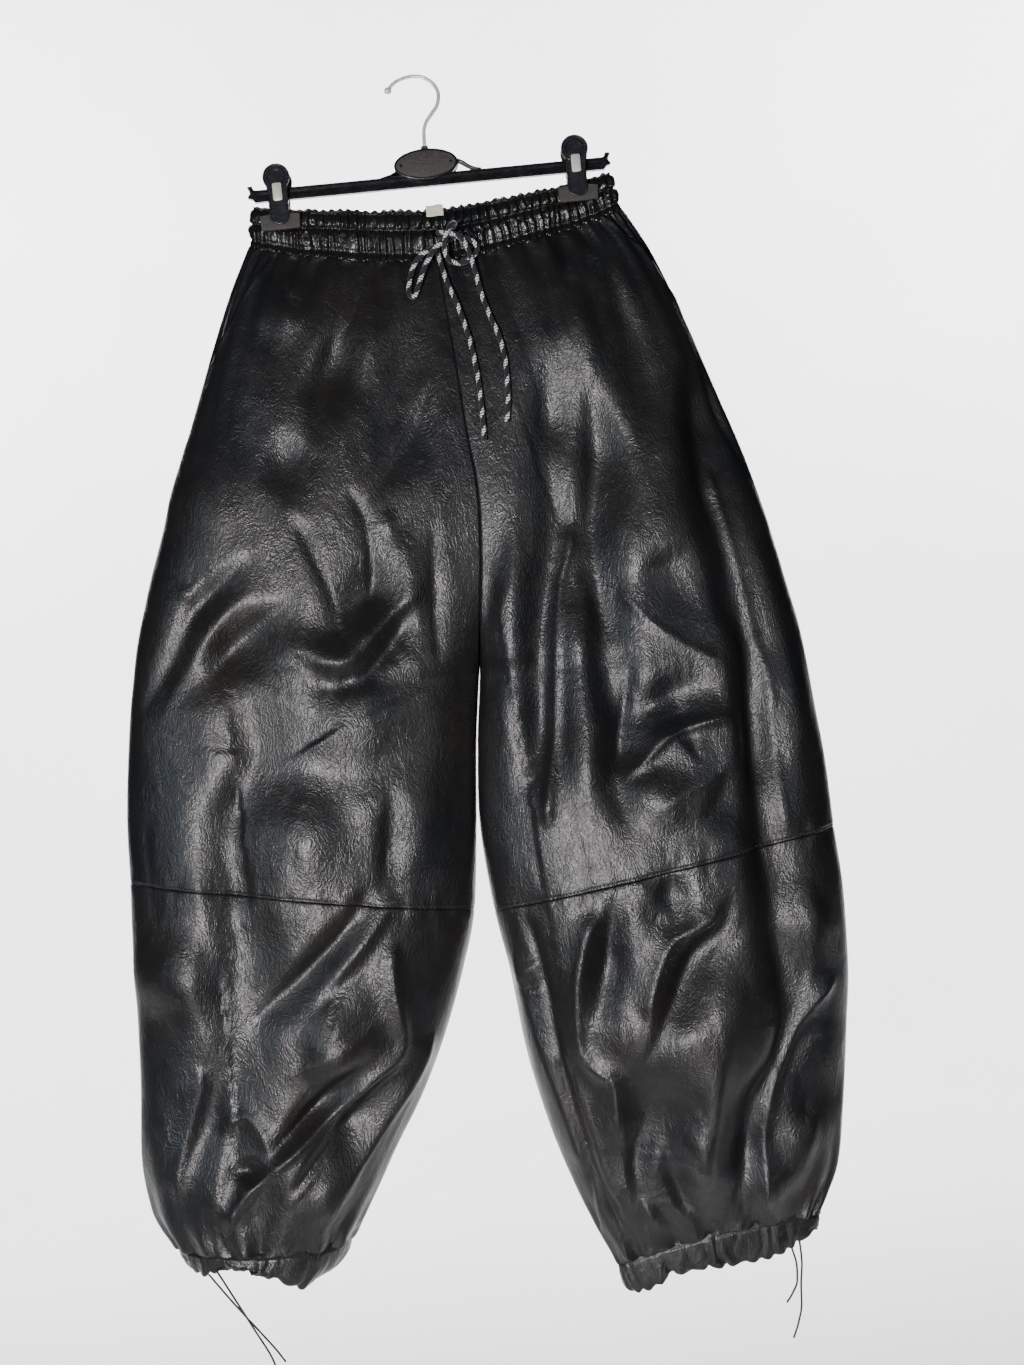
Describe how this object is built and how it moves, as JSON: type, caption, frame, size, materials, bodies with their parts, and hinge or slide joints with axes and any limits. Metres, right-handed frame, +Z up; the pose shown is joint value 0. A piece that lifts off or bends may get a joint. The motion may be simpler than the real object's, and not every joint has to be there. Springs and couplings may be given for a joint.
{
  "type": "faux leather jogger trousers on a clip hanger",
  "caption": "Full length balloon joggers in black faux leather with a shirred drawstring waist, hanging from a clip hanger with a wire hook.",
  "frame": {"origin": "underside of the hook's crown, where a rail carries the hanger", "axes": "+Z up, -Y towards the front of the garment, +X to the right of a viewer who faces the front"},
  "size_m": [0.6643, 0.1401, 1.1859],
  "materials": {
    "leather": "black faux leather, satin, crinkled",
    "shirred_leather": "black faux leather gathered on elastic",
    "label_ribbon": "plain cream woven ribbon",
    "cord": "black braid",
    "hanger_plastic": "black satin",
    "clip_plastic": "slate grey satin",
    "grip_plastic": "brown grey, fine grain",
    "hook_wire": "bright plated wire",
    "spring_brass": "pale polished"
  },
  "bodies": {
    "root": {"waistband_front": "shirred_leather", "waistband_back": "shirred_leather", "front_upper_left": "leather", "front_upper_right": "leather", "back_upper_left": "leather", "back_upper_right": "leather", "pocket_side_left": "leather", "pocket_side_right": "leather", "front_lower_left": "leather", "front_lower_right": "leather", "back_lower_left": "leather", "back_lower_right": "leather", "hem_left": "leather", "hem_right": "leather", "waist_label": "label_ribbon", "drawstring_one": "cord", "drawstring_two": "cord", "hem_cord_left_a": "cord", "hem_cord_left_b": "cord", "hem_cord_right_a": "cord", "hem_cord_right_b": "cord", "hanger_body": "hanger_plastic", "hanger_pad_front": "grip_plastic", "hanger_pad_back": "grip_plastic", "hanger_hook": "hook_wire", "clip_saddle_left": "clip_plastic", "clip_saddle_right": "clip_plastic", "clip_tongue_front_left": "clip_plastic", "clip_tongue_front_right": "clip_plastic", "clip_tongue_back_left": "clip_plastic", "clip_tongue_back_right": "clip_plastic", "clip_grip_front_left": "grip_plastic", "clip_grip_front_right": "grip_plastic", "clip_grip_back_left": "grip_plastic", "clip_grip_back_right": "grip_plastic", "clip_spring_left": "spring_brass", "clip_spring_right": "spring_brass"}
  },
  "joints": []
}
